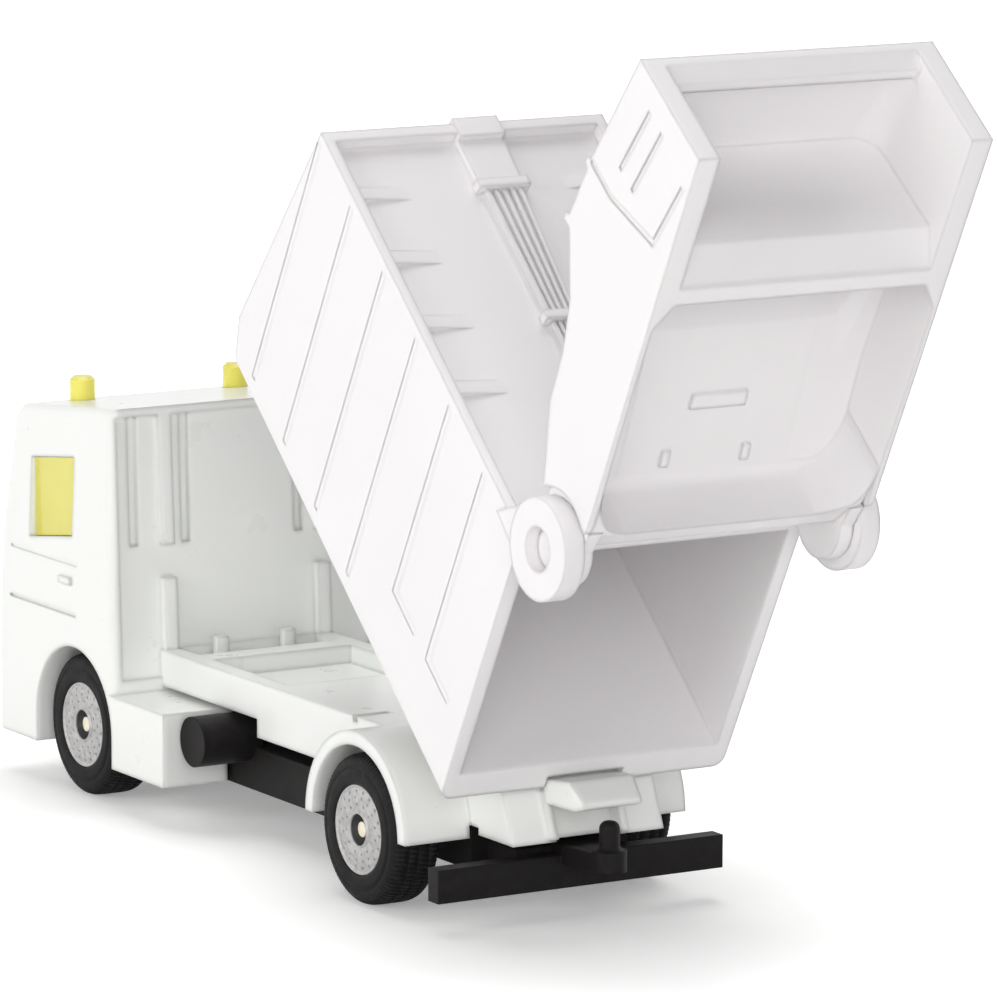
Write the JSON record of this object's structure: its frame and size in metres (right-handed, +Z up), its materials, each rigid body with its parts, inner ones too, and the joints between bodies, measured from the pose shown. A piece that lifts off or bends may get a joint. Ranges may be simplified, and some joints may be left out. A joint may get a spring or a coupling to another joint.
{
  "type": "toy refuse truck",
  "caption": "Small die-cast toy refuse truck with turning wheels, a tipping container and a tailgate that swings over the roof.",
  "frame": {"origin": "on the ground, under the middle of the whole toy in the pose of the picture", "axes": "+X to the vehicle's left, +Y to the rear, +Z up"},
  "size_m": [0.0274, 0.1072, 0.0689],
  "materials": {
    "painted_casting": "gloss white enamel on a zinc casting",
    "white_plastic": "satin moulded white",
    "black_plastic": "satin moulded black",
    "yellow_glazing": "clear yellow moulded plastic",
    "silver_plastic": "silver-grey moulded plastic",
    "tyre_black": "matt black moulded tyre",
    "steel_pin": "plain drawn steel"
  },
  "bodies": {
    "chassis": {"body_casting": "painted_casting", "container_pin": "steel_pin", "glazing": "yellow_glazing", "cab_interior": "black_plastic", "base_plate": "black_plastic", "front_rivet": "steel_pin", "rear_rivet": "steel_pin"},
    "front_wheelset": {"front_axle": "steel_pin", "front_left_rim": "silver_plastic", "front_left_tyre": "tyre_black", "front_right_rim": "silver_plastic", "front_right_tyre": "tyre_black"},
    "rear_wheelset": {"rear_axle": "steel_pin", "rear_left_rim": "silver_plastic", "rear_left_tyre": "tyre_black", "rear_right_rim": "silver_plastic", "rear_right_tyre": "tyre_black"},
    "container": {"container": "white_plastic"},
    "tailgate": {"tailgate": "white_plastic"}
  },
  "joints": [
    {"name": "container_tip", "type": "hinge", "parent": "chassis", "child": "container", "pos_m": [0, 0.01418, 0.0121], "axis": [-1, 0, 0], "range_deg": [-42.12, 0]},
    {"name": "tailgate_swing", "type": "hinge", "parent": "container", "child": "tailgate", "pos_m": [0, 0.03432, 0.03218], "axis": [1, 0, 0], "range_deg": [-180.8, 0]},
    {"name": "front_wheel_spin", "type": "hinge", "parent": "chassis", "child": "front_wheelset", "pos_m": [0, -0.04004, 0.0059], "axis": [1, 0, 0], "continuous": true},
    {"name": "rear_wheel_spin", "type": "hinge", "parent": "chassis", "child": "rear_wheelset", "pos_m": [0, 0.00631, 0.0059], "axis": [1, 0, 0], "continuous": true}
  ],
  "couplings": [
    {"joint": "tailgate_swing", "follows": "container_tip", "ratio": 4.2924}
  ]
}
